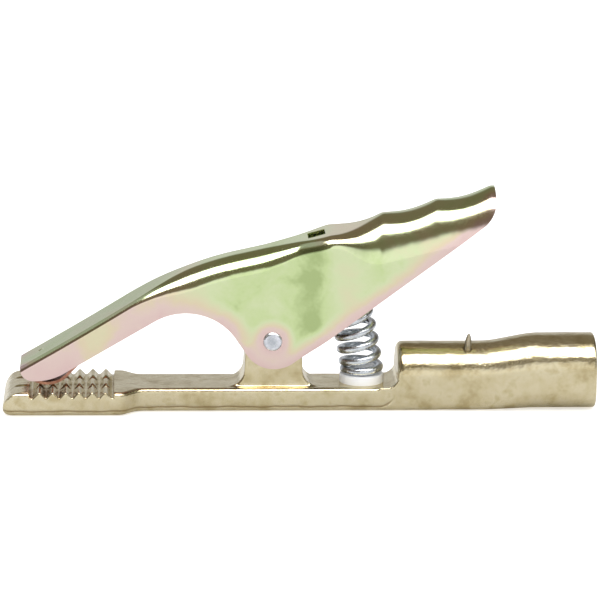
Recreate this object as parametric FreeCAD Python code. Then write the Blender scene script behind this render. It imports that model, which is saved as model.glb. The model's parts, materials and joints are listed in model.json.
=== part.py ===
import FreeCAD, Part
import math
import os

# Ground clamp for welding: brass lower arm, pressed steel lever, spring and copper current path.
# Millimetres. X runs along the arm towards the cable socket, Z is up, and -Y and +Y are the two
# sides. The origin is on the flat underside, straight below the pivot.

V = FreeCAD.Vector
Y_AXIS = V(0, 1, 0)

# Clearance of pieces that touch, and of shanks that sit tight in their holes
CONTACT_GAP = 0.03
TIGHT_FIT = 0.02

# Arm and jaw pad of the casting
ARM_HALF_W = 11.0
ARM_TOP = 8.4
ARM_END_X = 60.0
PAD_HALF_W = 16.5
NOSE_X = -95.1
NOSE_ROLL_R = 6.5
PAD_CORNER_R = 3.5
NECK_X = (-52.6, -47.2)
NECK_R = 4.0
UNDERSIDE_EDGE_R = 2.0
TOP_EDGE_R = 1.4

# Jaw teeth
TOOTH_PITCH = 4.65
TOOTH_COUNT = 6
FIRST_TOOTH_X = -82.1
TOOTH_TOP = 8.9
TOOTH_ROOT = 6.4
TOOTH_TIP_R = 0.25
TEETH_X = (-85.6, -55.9)
ROW_GROOVE_Y = 5.6
ROW_GROOVE_HALF_W = 2.0
ROW_GROOVE_BOTTOM = 6.7
NOSE_GROOVE_BOTTOM = 7.7
ROW_GROOVE_R = 0.5

# Pivot and its lug
PIVOT_Z = 25.4
RIVET_R = 3.0
RIVET_RUNNING_FIT = 0.05
RIVET_HEAD_R = 3.4
RIVET_HEAD_H = 1.05
RIVET_HEAD_EDGE_R = 0.95
LUG_HALF_W = 7.8
LUG_TOP = 37.0
LUG_TOP_X = (-8.9, 10.0)
LUG_BASE_X = (-10.0, 11.0)
LUG_TOP_R = 5.5
LUG_BASE_R = 6.0

# Cable socket
SOCKET_X = (44.5, 74.0, 96.0, 115.3)
SOCKET_HALF_W = (11.4, 12.2)
SOCKET_TOP = (22.6, 25.6)
SOCKET_LOW_R = (2.8, 6.8)
SHOULDER_STEPS = 4
SOCKET_ROUNDING = 0.95
SOCKET_WALL_TOP_R = 2.2
SOCKET_WALL_FOOT_R = 4.5
BORE_Z = 12.2
CABLE_R = 7.0
CABLE_STOP_X = 52.0
INSULATION_R = 9.0
INSULATION_X = 96.0
MOUTH_EDGE = 0.8

# Drive pin that is hammered into the strands of the cable
PIN_X = 69.6
PIN_LEAN_DEG = 27.0
PIN_R = 1.25
PIN_OUTSIDE = 6.9
PIN_INSIDE = 3.6

# Pressed steel lever
SHEET = 2.0
LEVER_X = (-89.0, 78.2)
LEVER_BEND = V(-27.8, 0, 51.2)
FRONT_SLOPE = math.radians(30.0)
REAR_SLOPE = math.radians(14.05)
BEND_HALF_LENGTH = 15.8
BOW_X = -36.0
BOW_LENGTH = 24.0
BOW_RISE = 1.1
FRONT_HALF_W = 10.0
GRIP_HALF_W = 13.1
STEP_X = (8.0, 20.0)
RISE_X = (12.0, 44.0)
GRIP_RISE = 1.9

# Rounding of the lever's arched section: upper radius at the nose, the lug, the step and the grip,
# the stretches along X over which it changes, and the flank's larger radius on the grip
CROWN_R = (2.5, 7.7, 4.5, 11.8)
CROWN_R_X = ((-66.0, -24.0), (-4.0, 14.0), (20.0, 38.0))
FLANK_R = 24.0
FLANK_ANGLE = math.radians(64.0)

# Finger scallops along the grip
SCALLOP_PITCH = 19.0
SCALLOP_COUNT = 3
SCALLOP_START_X = 19.8
SCALLOP_DEPTH = 1.35
CUSP_SOFTNESS = 0.08

# Side outline of the lever: x, z and rounding radius of each corner
FLANGE_CORNERS = (
    (-89.0, 11.1, 4.5),
    (-78.2, 11.1, 20.0),
    (-24.2, 42.9, 21.5),
    (-2.2, 10.3, 11.6),
    (78.2, 70.4, 12.0),
)
OUTLINE_TOP = 90.0

# Slot in the web, and the tab lanced out of it that holds the top of the spring
SLOT_X = (12.5, 18.5)
SLOT_HALF_W = 4.0
TAB_X = (19.3, 21.0)
TAB_END_Z = 57.0
TAB_HALF_W = 2.4
DIMPLE_X = -81.8
DIMPLE_R = 0.9
DIMPLE_DEPTH = 0.5

# Copper contact shoe and shunt strap: centre lines as x, z and rounding radius
SHOE_T = 1.0
SHOE_HALF_W = 7.4
SHOE_PATH = (
    (-62.0, 28.42, 0.0),
    (-87.6, 13.62, 1.6),
    (-78.5, 6.4, 9.3),
    (-68.4, 17.0, 0.0),
)
STRAP_T = 1.2
STRAP_HALF_W = 6.0
STRAP_PATH = (
    (-73.0, 20.3, 0.0),
    (-26.7, 47.02, 90.0),
    (11.35, 56.2, 11.0),
    (11.35, 22.6, 0.0),
)
SHUNT_RIVET_X = -66.0
SHUNT_RIVET_R = 1.8
SHUNT_RIVET_HEAD_R = 3.0
SHUNT_RIVET_HEAD_H = 0.8
SCREW_Z = 27.5
SCREW_R = 2.0
SCREW_FACE_X = 10.7
SCREW_DEPTH = 5.6
SCREW_HEAD_R = 3.7
SCREW_HEAD_H = 2.4
SCREW_EDGE_R = 0.6
SCREW_SLOT_W = 1.0
SCREW_SLOT_DEPTH = 1.1
WASHER_R = 3.8
WASHER_T = 1.0
WASHER_GAP = 0.8
WASHER_PLAY = 0.2

# Insulating spring seat, and the nub of the casting that it sits on
SPRING_X = 32.25
SEAT_R = 7.9
SEAT_T = 3.2
SEAT_EDGE_R = 0.7
SEAT_SPIGOT_R = 4.4
SEAT_SPIGOT_H = 3.0
NUB_R = 2.6
NUB_H = 4.5
NUB_FIT = 0.1

# Compression spring: a right-hand coil on an axis that leans from the seat to the lever
WIRE_R = 1.45
COIL_R = 6.4
SPRING_TURNS = 10.1
CLOSED_TURNS = 1.0
SPRING_TOP = V(22.3, 0, 57.6)
SPRING_LEAN = math.radians(14.3)
SPRING_BOW = 6.4
POINTS_PER_TURN = 12


def smooth(t):
    """Smooth step from 0 to 1 as t goes from 0 to 1."""
    t = min(max(t, 0.0), 1.0)
    return t * t * (3.0 - 2.0 * t)


def rounded_face(corners, place):
    """Flat face inside a closed outline of (u, v, radius) corners; place turns (u, v) into a point."""
    edges = []
    last = None
    first = None
    count = len(corners)
    for i in range(count):
        before = place(*corners[i - 1][:2])
        here = place(*corners[i][:2])
        after = place(*corners[(i + 1) % count][:2])
        back = (before - here).normalize()
        ahead = (after - here).normalize()
        radius = corners[i][2]
        start, end = here, here
        if radius > 0.0:
            half = back.getAngle(ahead) / 2.0
            reach = radius / math.tan(half)
            start = here + back * reach
            end = here + ahead * reach
            centre = here + (back + ahead).normalize() * (radius / math.sin(half))
            middle = centre + (here - centre).normalize() * radius
        if last is None:
            first = start
        else:
            edges.append(Part.makeLine(last, start))
        if radius > 0.0:
            edges.append(Part.Arc(start, middle, end).toShape())
        last = end
    edges.append(Part.makeLine(last, first))
    return Part.Face(Part.Wire(edges))


def side_prism(corners, half_w):
    """Solid with an outline in the XZ plane, from y = -half_w to +half_w."""
    face = rounded_face(corners, lambda x, z: V(x, -half_w, z))
    return face.extrude(V(0, 2.0 * half_w, 0))


def offset_path(path, distance):
    """Open path of (x, z, radius) corners, moved sideways by distance to the left of its run."""
    lines = []
    for (x0, z0, _), (x1, z1, _) in zip(path, path[1:]):
        length = math.hypot(x1 - x0, z1 - z0)
        ux, uz = (x1 - x0) / length, (z1 - z0) / length
        lines.append((x0 - uz * distance, z0 + ux * distance, ux, uz, length))
    moved = [(lines[0][0], lines[0][1], 0.0)]
    for (x, z, radius), (ax, az, aux, auz, _), (bx, bz, bux, buz, _) in zip(path[1:-1], lines, lines[1:]):
        turn = aux * buz - auz * bux
        along = ((bx - ax) * buz - (bz - az) * bux) / turn
        side = 1.0 if turn > 0.0 else -1.0
        moved.append((ax + aux * along, az + auz * along, radius - side * distance))
    x, z, ux, uz, length = lines[-1]
    moved.append((x + ux * length, z + uz * length, 0.0))
    return moved


def strip(path, thickness, half_w):
    """Bent strip of even thickness whose centre line is a rounded path in the XZ plane."""
    left = offset_path(path, thickness / 2.0)
    right = offset_path(path, -thickness / 2.0)
    return side_prism(left + right[::-1], half_w)


def cylinder_y(x, z, radius, half_w):
    """Cylinder along Y, centred on y = 0."""
    return Part.makeCylinder(radius, 2.0 * half_w, V(x, -half_w, z), Y_AXIS)


def box_between(x, y, z):
    """Box from three (low, high) pairs."""
    return Part.makeBox(x[1] - x[0], y[1] - y[0], z[1] - z[0], V(x[0], y[0], z[0]))


def edges_at_height(shape, z):
    """Edges that lie wholly in the plane at height z."""
    def flat(edge):
        return abs(edge.BoundBox.ZMin - z) < 1e-4 and abs(edge.BoundBox.ZMax - z) < 1e-4
    return [edge for edge in shape.Edges if flat(edge)]


# ---- lower arm casting ----

def arm_plate():
    """Jaw pad and arm: plan outline and side outline in one solid, with rounded edges."""
    near = [
        (NOSE_X, -PAD_HALF_W, PAD_CORNER_R),
        (NECK_X[0], -PAD_HALF_W, NECK_R),
        (NECK_X[1], -ARM_HALF_W, NECK_R),
        (ARM_END_X, -ARM_HALF_W, 0.0),
    ]
    far = [(x, -y, radius) for x, y, radius in near[::-1]]
    plan = rounded_face(near + far, lambda x, y: V(x, y, 0)).extrude(V(0, 0, ARM_TOP))
    plan = plan.makeFillet(UNDERSIDE_EDGE_R, edges_at_height(plan, 0.0))
    plan = plan.makeFillet(TOP_EDGE_R, edges_at_height(plan, ARM_TOP))
    side = side_prism(
        [(NOSE_X, 0.0, 0.0), (NOSE_X, ARM_TOP, NOSE_ROLL_R), (ARM_END_X, ARM_TOP, 0.0), (ARM_END_X, 0.0, 0.0)],
        PAD_HALF_W,
    )
    return plan.common(side)


def jaw_teeth():
    """Pocket to cut from the pad, and the ridged block that fills it again."""
    width = (-PAD_HALF_W - 1.0, PAD_HALF_W + 1.0)
    pocket = box_between(TEETH_X, width, (TOOTH_ROOT, TOOTH_TOP + 1.0))
    ridges = []
    for i in range(TOOTH_COUNT):
        x = FIRST_TOOTH_X + i * TOOTH_PITCH
        half = TOOTH_PITCH / 2.0
        corners = [
            (x - half, TOOTH_ROOT - 1.0, 0.0),
            (x + half, TOOTH_ROOT - 1.0, 0.0),
            (x + half, TOOTH_ROOT, 0.0),
            (x, TOOTH_TOP, TOOTH_TIP_R),
            (x - half, TOOTH_ROOT, 0.0),
        ]
        ridges.append(side_prism(corners, PAD_HALF_W))
    return pocket, ridges


def row_groove(y, bottom, start_x, end_x):
    """Groove along the jaw that parts the teeth into rows."""
    corners = [
        (y - ROW_GROOVE_HALF_W, TOOTH_TOP + 0.1, 0.0),
        (y, bottom, ROW_GROOVE_R),
        (y + ROW_GROOVE_HALF_W, TOOTH_TOP + 0.1, 0.0),
    ]
    face = rounded_face(corners, lambda u, z: V(start_x, u, z))
    return face.extrude(V(end_x - start_x, 0, 0))


def pivot_lug():
    """Upright lug with flared feet."""
    foot = ARM_TOP - 2.0
    reach = LUG_BASE_R + 3.0
    corners = [
        (LUG_BASE_X[0] - reach, foot, 0.0),
        (LUG_BASE_X[0] - reach, ARM_TOP, 0.0),
        (LUG_BASE_X[0], ARM_TOP, LUG_BASE_R),
        (LUG_TOP_X[0], LUG_TOP, LUG_TOP_R),
        (LUG_TOP_X[1], LUG_TOP, LUG_TOP_R),
        (LUG_BASE_X[1], ARM_TOP, LUG_BASE_R),
        (LUG_BASE_X[1] + reach, ARM_TOP, 0.0),
        (LUG_BASE_X[1] + reach, foot, 0.0),
    ]
    return side_prism(corners, LUG_HALF_W)


def socket_section(x, grow):
    """Flat-bottomed, round-topped outline of the socket; grow goes from 0 to 1 at the collar."""
    half_w = SOCKET_HALF_W[0] + (SOCKET_HALF_W[1] - SOCKET_HALF_W[0]) * grow
    top = SOCKET_TOP[0] + (SOCKET_TOP[1] - SOCKET_TOP[0]) * grow
    low_r = SOCKET_LOW_R[0] + (SOCKET_LOW_R[1] - SOCKET_LOW_R[0]) * grow
    corners = [
        (-half_w, 0.0, low_r),
        (half_w, 0.0, low_r),
        (half_w, top, half_w * SOCKET_ROUNDING),
        (-half_w, top, half_w * SOCKET_ROUNDING),
    ]
    return rounded_face(corners, lambda y, z: V(x, y, z))


def cable_socket():
    """Round-topped socket: narrow front, rising shoulder, wide collar, and the foot of its wall."""
    front_x, shoulder_x, collar_x, end_x = SOCKET_X
    front = socket_section(front_x, 0.0).extrude(V(shoulder_x - front_x, 0, 0))
    wall_edges = [
        edge for edge in front.Edges
        if edge.BoundBox.XMax < front_x + 1e-4 and edge.BoundBox.ZMax > SOCKET_LOW_R[0] + 1e-3
    ]
    front = front.makeFillet(SOCKET_WALL_TOP_R, wall_edges)
    wires = []
    for i in range(SHOULDER_STEPS + 1):
        part = i / SHOULDER_STEPS
        x = shoulder_x + (collar_x - shoulder_x) * part
        wires.append(socket_section(x, smooth(part)).OuterWire)
    shoulder = Part.makeLoft(wires, True, False)
    collar = socket_section(collar_x, 1.0).extrude(V(end_x - collar_x, 0, 0))
    mouth_edges = [edge for edge in collar.Edges if edge.BoundBox.XMin > end_x - 1e-4]
    collar = collar.makeFillet(MOUTH_EDGE, mouth_edges)
    foot = side_prism(
        [
            (front_x - SOCKET_WALL_FOOT_R - 2.0, ARM_TOP - 2.0, 0.0),
            (front_x - SOCKET_WALL_FOOT_R - 2.0, ARM_TOP, 0.0),
            (front_x, ARM_TOP, SOCKET_WALL_FOOT_R),
            (front_x + 0.5, ARM_TOP + SOCKET_WALL_FOOT_R + 2.0, 0.0),
            (front_x + 4.0, ARM_TOP + SOCKET_WALL_FOOT_R + 2.0, 0.0),
            (front_x + 4.0, ARM_TOP - 2.0, 0.0),
        ],
        ARM_HALF_W,
    )
    return front.fuse([shoulder, collar, foot])


def pin_direction():
    """Direction in which the drive pin stands out of the socket."""
    lean = math.radians(PIN_LEAN_DEG)
    return V(0, -math.sin(lean), math.cos(lean))


def pin_root():
    """Point on the socket's outer skin where the drive pin leaves it."""
    round_r = SOCKET_HALF_W[0] * SOCKET_ROUNDING
    centre = V(PIN_X, 0, SOCKET_TOP[0] - round_r)
    return centre + pin_direction() * round_r


def lower_arm_casting():
    """The whole brass casting with its bores."""
    pocket, ridges = jaw_teeth()
    body = arm_plate().cut(pocket).fuse(ridges)
    for y in (-ROW_GROOVE_Y, ROW_GROOVE_Y):
        body = body.cut(row_groove(y, ROW_GROOVE_BOTTOM, *TEETH_X))
        body = body.cut(row_groove(y, NOSE_GROOVE_BOTTOM, NOSE_X, TEETH_X[0]))
    nub = Part.makeCylinder(NUB_R, NUB_H + 1.0, V(SPRING_X, 0, ARM_TOP - 1.0))
    body = body.fuse([pivot_lug(), cable_socket(), nub])
    mouth = Part.makeCylinder(INSULATION_R, SOCKET_X[3] - INSULATION_X, V(INSULATION_X, 0, BORE_Z), V(1, 0, 0))
    bore = Part.makeCylinder(CABLE_R, INSULATION_X - CABLE_STOP_X, V(CABLE_STOP_X, 0, BORE_Z), V(1, 0, 0))
    pivot = cylinder_y(0.0, PIVOT_Z, RIVET_R + RIVET_RUNNING_FIT, LUG_HALF_W + 1.0)
    screw = Part.makeCylinder(
        SCREW_R + TIGHT_FIT, SCREW_DEPTH + 1.5, V(SCREW_FACE_X - SCREW_DEPTH - 0.5, 0, SCREW_Z), V(1, 0, 0))
    pin_start = pin_root() - pin_direction() * (PIN_INSIDE + 2.0)
    pin_hole = Part.makeCylinder(PIN_R + TIGHT_FIT, PIN_INSIDE + 4.0, pin_start, pin_direction())
    return body.cut([mouth, bore, pivot, screw, pin_hole]).removeSplitter()


def cable_drive_pin():
    """Bullet-shaped pin, started in its hole above the cable bore."""
    curve = Part.BSplineCurve()
    angles = [math.radians(15.0 * i) for i in range(7)]
    curve.interpolate([V(PIN_R * math.cos(a), 0, PIN_INSIDE + PIN_OUTSIDE * math.sin(a)) for a in angles])
    foot = V(0, 0, 0)
    rim = V(PIN_R, 0, 0)
    edges = [
        curve.toShape(),
        Part.makeLine(curve.EndPoint, foot),
        Part.makeLine(foot, rim),
        Part.makeLine(rim, curve.StartPoint),
    ]
    pin = Part.Face(Part.Wire(edges)).revolve(V(0, 0, 0), V(0, 0, 1), 360.0)
    pin.rotate(V(0, 0, 0), V(1, 0, 0), PIN_LEAN_DEG)
    pin.translate(pin_root() - pin_direction() * PIN_INSIDE)
    return pin


# ---- pressed steel lever ----

def crown_line(x):
    """Height of the lever's outer skin at y = 0, without step and scallops."""
    front, rear = math.tan(FRONT_SLOPE), math.tan(REAR_SLOPE)
    past_start = x - LEVER_BEND.x + BEND_HALF_LENGTH
    t = min(max(past_start / (2.0 * BEND_HALF_LENGTH), 0.0), 1.0)
    past_end = max(past_start - 2.0 * BEND_HALF_LENGTH, 0.0)
    sag = (front - rear) * (BEND_HALF_LENGTH * t * t + past_end)
    bow = BOW_RISE * math.exp(-((x - BOW_X) / BOW_LENGTH) ** 2)
    return LEVER_BEND.z + (x - LEVER_BEND.x) * front - sag + bow


def scallop_dip(x):
    """Depth of the finger scallops below the line of their cusps."""
    if x <= SCALLOP_START_X:
        return 0.0
    wave = math.sin(math.pi * (x - SCALLOP_START_X) / SCALLOP_PITCH)
    soft = CUSP_SOFTNESS
    return SCALLOP_DEPTH * (math.hypot(wave, soft) - soft) / (math.hypot(1.0, soft) - soft)


def lever_profile(x):
    """Half width, crown height, crown radius and flank radius of the lever's outer skin at x."""
    step = smooth((x - STEP_X[0]) / (STEP_X[1] - STEP_X[0]))
    half_w = FRONT_HALF_W + (GRIP_HALF_W - FRONT_HALF_W) * step
    rise = smooth((x - RISE_X[0]) / (RISE_X[1] - RISE_X[0]))
    crown = crown_line(x) + GRIP_RISE * rise - scallop_dip(x)
    crown_r = CROWN_R[0]
    for before, after, (start, end) in zip(CROWN_R, CROWN_R[1:], CROWN_R_X):
        crown_r += (after - before) * smooth((x - start) / (end - start))
    start, end = CROWN_R_X[-1]
    flank_r = crown_r + (FLANK_R - CROWN_R[-1]) * smooth((x - start) / (end - start))
    return half_w, crown, crown_r, flank_r


def lever_section(x, inset):
    """Arched outline across the lever at x, moved inwards by inset: web, two roundings, flange."""
    half_w, crown, crown_r, flank_r = lever_profile(x)
    slope = (crown_line(x + 0.5) - crown_line(x - 0.5))
    top = crown - inset * math.hypot(1.0, slope)
    half_w -= inset
    crown_r -= inset
    flank_r -= inset
    reach = crown_r * math.tan(FLANK_ANGLE / 2.0) + flank_r * math.tan((math.pi / 2.0 - FLANK_ANGLE) / 2.0)
    bend_y = half_w - reach * math.cos(FLANK_ANGLE)
    bend_z = top - reach * math.sin(FLANK_ANGLE)
    corners = [
        (-half_w, 0.0, 0.0),
        (half_w, 0.0, 0.0),
        (half_w, bend_z, flank_r - 0.01),
        (bend_y, top, crown_r - 0.01),
        (-bend_y, top, crown_r - 0.01),
        (-half_w, bend_z, flank_r - 0.01),
    ]
    return rounded_face(corners, lambda y, z: V(x, y, z)).OuterWire


def lever_stations():
    """Places along X where the lever's cross-section is drawn."""
    front = [LEVER_X[0] - 2.0 + i * (STEP_X[0] - LEVER_X[0] + 2.0) / 14 for i in range(14)]
    step = [STEP_X[0] + i * (STEP_X[1] - STEP_X[0]) / 4 for i in range(4)]
    grip_end = SCALLOP_START_X + SCALLOP_COUNT * SCALLOP_PITCH + 2.0
    grip = [STEP_X[1] + i * (grip_end - STEP_X[1]) / 24 for i in range(25)]
    return front + step + grip


def side_outline():
    """Closed side outline of the lever, open to far above its crown."""
    return [(LEVER_X[0], OUTLINE_TOP, 0.0)] + list(FLANGE_CORNERS) + [(LEVER_X[1], OUTLINE_TOP, 0.0)]


def handle_stamping():
    """Channel-shaped lever with its flanges trimmed, slot, tab, stake mark and rivet holes."""
    stations = lever_stations()
    outer = Part.makeLoft([lever_section(x, 0.0) for x in stations], True, False)
    inner = Part.makeLoft([lever_section(x, SHEET) for x in stations], True, False)
    channel = outer.cut(inner)
    lever = channel.common(side_prism(side_outline(), GRIP_HALF_W + 1.0))
    slot_top = lever_profile(SLOT_X[1])[1] + 1.0
    slot = box_between(SLOT_X, (-SLOT_HALF_W, SLOT_HALF_W), (TAB_END_Z, slot_top))
    tab_top = lever_profile(SLOT_X[1])[1] - SHEET / 2.0
    tab = box_between(TAB_X, (-TAB_HALF_W, TAB_HALF_W), (TAB_END_Z, tab_top))
    holes = cylinder_y(0.0, PIVOT_Z, RIVET_R + TIGHT_FIT, GRIP_HALF_W)
    stake = Part.makeSphere(DIMPLE_R, V(DIMPLE_X, 0, crown_line(DIMPLE_X) + DIMPLE_R - DIMPLE_DEPTH))
    return lever.cut([slot, holes, stake]).fuse(tab)


def pivot_rivet():
    """Shank with a head of well-rounded edge on each side of the lever."""
    reach = FRONT_HALF_W + CONTACT_GAP
    shank = cylinder_y(0.0, PIVOT_Z, RIVET_R, reach)
    heads = []
    for side in (-1.0, 1.0):
        head = Part.makeCylinder(RIVET_HEAD_R, RIVET_HEAD_H, V(0, side * reach, PIVOT_Z), V(0, side, 0))
        face_y = side * (reach + RIVET_HEAD_H)
        rim = [edge for edge in head.Edges if abs(edge.BoundBox.Center.y - face_y) < 1e-4]
        heads.append(head.makeFillet(RIVET_HEAD_EDGE_R, rim))
    return shank.fuse(heads).removeSplitter()


# ---- current path of the upper jaw ----

def contact_shoe():
    """Copper strip folded under the nose of the lever, with a hole for the shunt rivet."""
    return strip(SHOE_PATH, SHOE_T, SHOE_HALF_W).cut(shunt_rivet_cutter())


def shunt_strap():
    """Laminated copper strap from the shoe to the back of the lug."""
    strap = strip(STRAP_PATH, STRAP_T, STRAP_HALF_W)
    hole = Part.makeCylinder(SCREW_R + TIGHT_FIT, 4.0, V(SCREW_FACE_X - 1.0, 0, SCREW_Z), V(1, 0, 0))
    return strap.cut([hole, shunt_rivet_cutter()])


def shunt_rivet_axis():
    """Middle of the shunt rivet on the shoe's centre line, and its direction away from the web."""
    x0, z0, _ = SHOE_PATH[0]
    middle = V(SHUNT_RIVET_X, 0, z0 + (SHUNT_RIVET_X - x0) * math.tan(FRONT_SLOPE))
    return middle, V(math.sin(FRONT_SLOPE), 0, -math.cos(FRONT_SLOPE))


def shunt_rivet_cutter():
    """Hole for the shank of the shunt rivet."""
    middle, down = shunt_rivet_axis()
    return Part.makeCylinder(SHUNT_RIVET_R + TIGHT_FIT, 8.0, middle - down * 4.0, down)


def shunt_rivet():
    """Rivet through shoe and strap: flush at the web, headed below the strap."""
    middle, down = shunt_rivet_axis()
    strap_z = STRAP_PATH[0][1] + (SHUNT_RIVET_X - STRAP_PATH[0][0]) * math.tan(FRONT_SLOPE)
    strap_far = (middle.z - strap_z) * math.cos(FRONT_SLOPE) + STRAP_T / 2.0 + CONTACT_GAP
    shank = Part.makeCylinder(SHUNT_RIVET_R, SHOE_T / 2.0 + strap_far, middle - down * (SHOE_T / 2.0), down)
    head = Part.makeCone(
        SHUNT_RIVET_HEAD_R, SHUNT_RIVET_R, SHUNT_RIVET_HEAD_H, middle + down * strap_far, down)
    return shank.fuse(head)


def strap_back_x():
    """Outer face of the strap where it is screwed to the lug."""
    return STRAP_PATH[3][0] + STRAP_T / 2.0


def shunt_washer():
    """Split spring washer between strap and screw head."""
    start = V(strap_back_x() + CONTACT_GAP, 0, SCREW_Z)
    disc = Part.makeCylinder(WASHER_R, WASHER_T, start, V(1, 0, 0))
    hole = Part.makeCylinder(SCREW_R + WASHER_PLAY, WASHER_T, start, V(1, 0, 0))
    split = box_between(
        (start.x, start.x + WASHER_T), (-WASHER_GAP / 2.0, WASHER_GAP / 2.0), (SCREW_Z, SCREW_Z + WASHER_R))
    return disc.cut([hole, split])


def shunt_screw():
    """Slotted cheese-head screw that holds the strap to the lug."""
    head_x = strap_back_x() + WASHER_T + 2.0 * CONTACT_GAP
    start = V(SCREW_FACE_X - SCREW_DEPTH, 0, SCREW_Z)
    shank = Part.makeCylinder(SCREW_R, head_x - start.x, start, V(1, 0, 0))
    head = Part.makeCylinder(SCREW_HEAD_R, SCREW_HEAD_H, V(head_x, 0, SCREW_Z), V(1, 0, 0))
    rim = [edge for edge in head.Edges if edge.BoundBox.XMin > head_x + SCREW_HEAD_H - 1e-4]
    head = head.makeFillet(SCREW_EDGE_R, rim)
    slot = box_between(
        (head_x + SCREW_HEAD_H - SCREW_SLOT_DEPTH, head_x + SCREW_HEAD_H),
        (-SCREW_HEAD_R, SCREW_HEAD_R),
        (SCREW_Z - SCREW_SLOT_W / 2.0, SCREW_Z + SCREW_SLOT_W / 2.0),
    )
    return shank.fuse(head.cut(slot))


# ---- spring ----

def spring_seat():
    """Flanged insulating bush over the casting's nub."""
    base = V(SPRING_X, 0, ARM_TOP)
    flange = Part.makeCylinder(SEAT_R, SEAT_T, base)
    flange = flange.makeFillet(SEAT_EDGE_R, edges_at_height(flange, ARM_TOP + SEAT_T))
    spigot = Part.makeCylinder(SEAT_SPIGOT_R, SEAT_T + SEAT_SPIGOT_H, base)
    hole = Part.makeCylinder(NUB_R + NUB_FIT, NUB_H + NUB_FIT, base)
    return flange.fuse(spigot).cut(hole)


def spring_axis(t):
    """Point and direction of the spring's leaning axis, t from 0 at the seat to 1 at the lever."""
    foot = V(SPRING_X, 0, ARM_TOP + SEAT_T + WIRE_R + CONTACT_GAP)
    length = (SPRING_TOP - foot).Length
    up = V(0, 0, length)
    lean = V(-math.sin(SPRING_LEAN), 0, math.cos(SPRING_LEAN)) * length
    point = (foot * (2 * t ** 3 - 3 * t ** 2 + 1) + up * (t ** 3 - 2 * t ** 2 + t)
             + SPRING_TOP * (3 * t ** 2 - 2 * t ** 3) + lean * (t ** 3 - t ** 2))
    point = point - V(SPRING_BOW * (t ** 3 - 2 * t ** 2 + t), 0, 0)
    slope = (foot * (6 * t ** 2 - 6 * t) + up * (3 * t ** 2 - 4 * t + 1)
             + SPRING_TOP * (6 * t - 6 * t ** 2) + lean * (3 * t ** 2 - 2 * t))
    return point, slope.normalize()


def coil_height(turn):
    """Share of the axis that the wire has climbed after this many turns: close-wound at both ends."""
    foot = ARM_TOP + SEAT_T + WIRE_R
    closed_rise = 2.0 * WIRE_R * CLOSED_TURNS / (SPRING_TOP.z - foot)
    if turn < CLOSED_TURNS:
        return closed_rise * (turn / CLOSED_TURNS) ** 2
    if turn > SPRING_TURNS - CLOSED_TURNS:
        return 1.0 - closed_rise * ((SPRING_TURNS - turn) / CLOSED_TURNS) ** 2
    open_part = (turn - CLOSED_TURNS) / (SPRING_TURNS - 2.0 * CLOSED_TURNS)
    return closed_rise + (1.0 - 2.0 * closed_rise) * open_part


def return_spring():
    """Round wire swept along the leaning coil."""
    points = []
    for i in range(int(SPRING_TURNS * POINTS_PER_TURN) + 1):
        turn = i / POINTS_PER_TURN
        centre, along = spring_axis(coil_height(turn))
        across = Y_AXIS.cross(along)
        angle = math.pi + 2.0 * math.pi * turn
        points.append(centre + across * (COIL_R * math.cos(angle)) + Y_AXIS * (COIL_R * math.sin(angle)))
    curve = Part.BSplineCurve()
    curve.interpolate(points)
    path = Part.Wire(curve.toShape())
    start = curve.value(curve.FirstParameter)
    heading = curve.tangent(curve.FirstParameter)[0]
    ring = Part.Wire(Part.makeCircle(WIRE_R, start, heading))
    return path.makePipeShell([ring], True, True)


PIECES = {
    "lower_arm_casting": lower_arm_casting,
    "cable_drive_pin": cable_drive_pin,
    "handle_stamping": handle_stamping,
    "pivot_rivet": pivot_rivet,
    "contact_shoe": contact_shoe,
    "shunt_strap": shunt_strap,
    "shunt_rivet": shunt_rivet,
    "shunt_washer": shunt_washer,
    "shunt_screw": shunt_screw,
    "spring_seat": spring_seat,
    "return_spring": return_spring,
}

os.makedirs("parts", exist_ok=True)
for node, make in PIECES.items():
    piece = make()
    print(node, piece.isValid(), len(piece.Solids), round(piece.Volume, 1))
    piece.exportStep(os.path.join("parts", node + ".step"))
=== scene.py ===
import json
import math

import bmesh
import bpy
import numpy as np
from mathutils import Matrix, Vector, noise


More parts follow.
